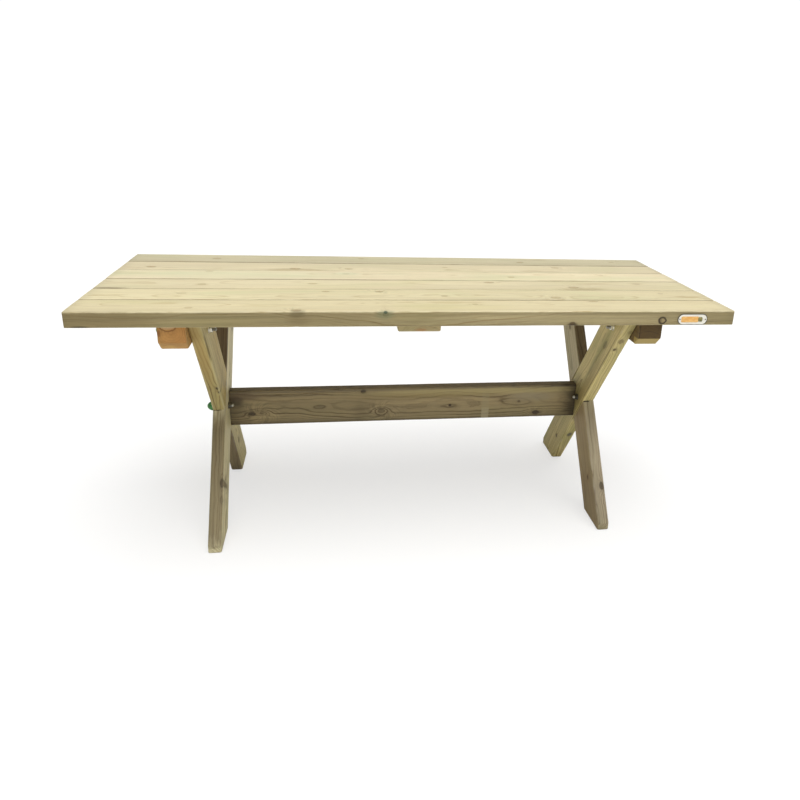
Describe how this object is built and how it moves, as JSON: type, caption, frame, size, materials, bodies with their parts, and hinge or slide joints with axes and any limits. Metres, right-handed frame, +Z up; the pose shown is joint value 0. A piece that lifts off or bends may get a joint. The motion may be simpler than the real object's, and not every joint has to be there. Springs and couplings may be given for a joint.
{
  "type": "picnic table",
  "caption": "Rigid wooden picnic table: a slatted top on bearers, crossed half-lapped legs at each end, and a middle stretcher, bolted and screwed together.",
  "frame": {"origin": "on the floor, under the middle of the top", "axes": "+X along the table's length, +Y from the front edge with the plate to the back edge, +Z up"},
  "size_m": [1.8, 0.7276, 0.745],
  "materials": {
    "deck_wood": "planed, pressure-treated pine, matt, pale cream with a green cast",
    "bearer_wood": "planed pine, matt, brown",
    "leg_wood": "planed, pressure-treated pine, matt, olive brown",
    "rail_wood": "planed, pressure-treated pine, matt, dark brown",
    "zinc_steel": "bright zinc plating",
    "green_plastic": "moulded, satin",
    "name_plate": "white enamel with a plain orange panel"
  },
  "bodies": {
    "root": {"batten_screw_1": "zinc_steel", "batten_screw_2": "zinc_steel", "batten_screw_3": "zinc_steel", "batten_screw_4": "zinc_steel", "batten_screw_5": "zinc_steel", "batten_screw_6": "zinc_steel", "bearer_left": "bearer_wood", "bearer_right": "bearer_wood", "bearer_screw_left_1": "zinc_steel", "bearer_screw_left_2": "zinc_steel", "bearer_screw_left_3": "zinc_steel", "bearer_screw_left_4": "zinc_steel", "bearer_screw_left_5": "zinc_steel", "bearer_screw_left_6": "zinc_steel", "bearer_screw_right_1": "zinc_steel", "bearer_screw_right_2": "zinc_steel", "bearer_screw_right_3": "zinc_steel", "bearer_screw_right_4": "zinc_steel", "bearer_screw_right_5": "zinc_steel", "bearer_screw_right_6": "zinc_steel", "centre_batten": "bearer_wood", "crossing_bolt_left": "zinc_steel", "crossing_bolt_right": "zinc_steel", "crossing_cap_left": "green_plastic", "crossing_cap_right": "green_plastic", "crossing_nut_left": "zinc_steel", "crossing_nut_right": "zinc_steel", "leg_bolt_cap_left_back": "green_plastic", "leg_bolt_cap_left_front": "green_plastic", "leg_bolt_cap_right_back": "green_plastic", "leg_bolt_cap_right_front": "green_plastic", "leg_bolt_left_back": "zinc_steel", "leg_bolt_left_front": "zinc_steel", "leg_bolt_right_back": "zinc_steel", "leg_bolt_right_front": "zinc_steel", "leg_left_back_top": "leg_wood", "leg_left_front_top": "leg_wood", "leg_nut_left_back": "zinc_steel", "leg_nut_left_front": "zinc_steel", "leg_nut_right_back": "zinc_steel", "leg_nut_right_front": "zinc_steel", "leg_right_back_top": "leg_wood", "leg_right_front_top": "leg_wood", "name_plate": "name_plate", "plate_pin_left": "zinc_steel", "plate_pin_right": "zinc_steel", "stretcher": "rail_wood", "stretcher_screw_left_lower": "zinc_steel", "stretcher_screw_left_upper": "zinc_steel", "stretcher_screw_right_lower": "zinc_steel", "stretcher_screw_right_upper": "zinc_steel", "top_board_1": "deck_wood", "top_board_2": "deck_wood", "top_board_3": "deck_wood", "top_board_4": "deck_wood", "top_board_5": "deck_wood", "top_board_6": "deck_wood"}
  },
  "joints": []
}
